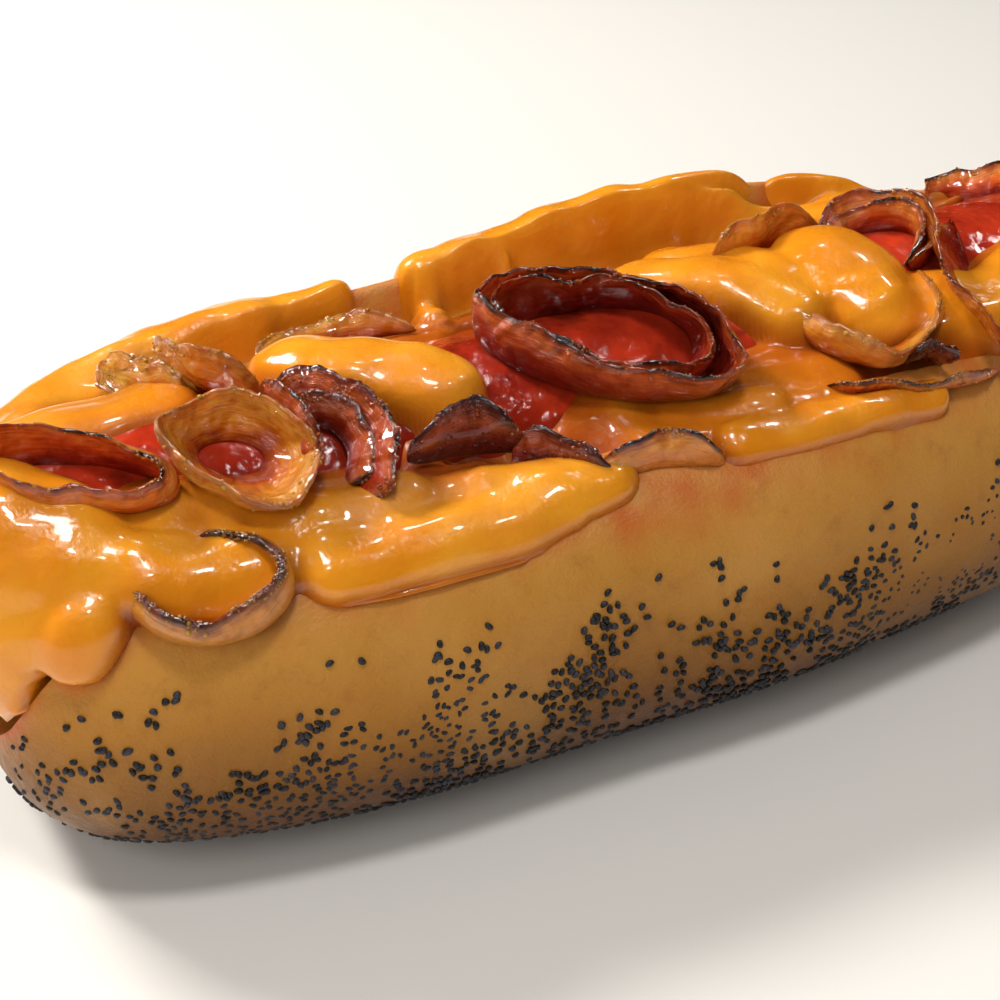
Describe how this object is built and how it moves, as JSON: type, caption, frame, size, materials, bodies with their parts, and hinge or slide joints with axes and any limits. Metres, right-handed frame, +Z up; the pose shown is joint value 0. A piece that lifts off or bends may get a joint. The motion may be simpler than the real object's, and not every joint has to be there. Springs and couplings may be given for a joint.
{
  "type": "hot dog",
  "caption": "Hot dog: sausage in a soft split bun with poppy seeds on its sides, topped with melted cheese sauce and caramelised onion rings and strips.",
  "frame": {"origin": "on the bun's flat underside, below the middle of the sausage", "axes": "+X along the bun and the sausage, +Y from the low lip to the high lip, +Z up out of the channel"},
  "size_m": [0.1656, 0.0687, 0.054],
  "materials": {
    "bun_crust": "soft baked crust, satin, golden, with blue-black poppy seeds",
    "sausage_skin": "glossy grilled red-brown skin",
    "cheese": "glossy melted yellow-orange cheese sauce",
    "onion": "glossy translucent caramelised onion, charred at the rims"
  },
  "bodies": {
    "root": {"bun": "bun_crust", "sausage": "sausage_skin", "cheese_sauce": "cheese", "onion_ring_big": "onion", "onion_ring_front": "onion", "onion_cup": "onion", "onion_ring_top": "onion", "onion_ring_right": "onion", "onion_ring_back": "onion", "onion_ring_middle": "onion", "onion_curl_far": "onion", "onion_boat": "onion", "onion_strip_far": "onion", "onion_strip_lip_far": "onion", "onion_hood": "onion", "onion_hood_tail": "onion", "onion_lip_ring": "onion", "onion_strip_lip": "onion", "onion_knot_right": "onion", "onion_strand_top": "onion", "onion_drape_right": "onion", "onion_end_far": "onion"}
  },
  "joints": []
}
